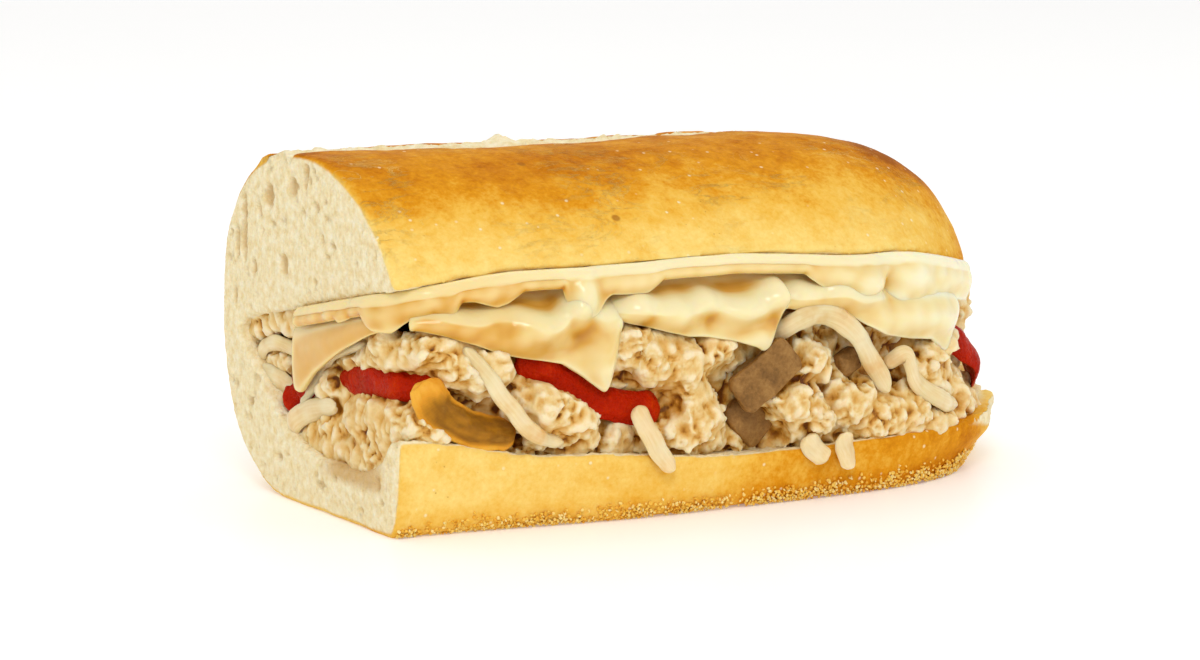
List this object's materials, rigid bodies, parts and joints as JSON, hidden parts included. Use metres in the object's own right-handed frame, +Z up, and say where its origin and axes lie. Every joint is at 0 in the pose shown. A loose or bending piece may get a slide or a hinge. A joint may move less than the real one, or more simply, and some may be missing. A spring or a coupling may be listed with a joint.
{
  "type": "submarine sandwich",
  "caption": "Half of a long hinged sub roll, cut across, its open mouth filled with chopped chicken, peppers, onion and mushroom under melted cheese",
  "frame": {"origin": "middle of the bounding box in plan, on the surface the sandwich rests on", "axes": "+X runs along the roll from its cut end to its baked end, +Y from the open mouth to the hinge, +Z up"},
  "size_m": [0.1916, 0.0998, 0.0833],
  "materials": {
    "baked_bread": "golden baked crust with a pale open crumb on the cut",
    "chopped_chicken": "moist crumbly cooked chicken",
    "melted_cheese": "smooth glossy melted cheese",
    "red_pepper": "glossy cooked red pepper",
    "green_pepper": "glossy olive cooked pepper",
    "cooked_onion": "translucent cooked onion",
    "cooked_mushroom": "moist grey-brown cooked mushroom"
  },
  "bodies": {
    "root": {"roll": "baked_bread", "chicken": "chopped_chicken", "cheese_melt": "melted_cheese", "cheese_slice_cut_end": "melted_cheese", "cheese_slice_middle": "melted_cheese", "cheese_slice_right": "melted_cheese", "cheese_slice_baked_end": "melted_cheese", "red_pepper_cut_end": "red_pepper", "red_pepper_corner": "red_pepper", "red_pepper_middle": "red_pepper", "red_pepper_baked_end": "red_pepper", "green_pepper": "green_pepper", "onion_strand": "cooked_onion", "onion_over_lip": "cooked_onion", "onion_arch": "cooked_onion", "onion_curl": "cooked_onion", "onion_cut_end_arc": "cooked_onion", "onion_cut_end_tip": "cooked_onion", "onion_cut_end_ring": "cooked_onion", "onion_under_cheese": "cooked_onion", "onion_bit_left": "cooked_onion", "onion_bit_right": "cooked_onion", "mushroom_slab": "cooked_mushroom", "mushroom_low": "cooked_mushroom", "mushroom_back": "cooked_mushroom"}
  },
  "joints": []
}
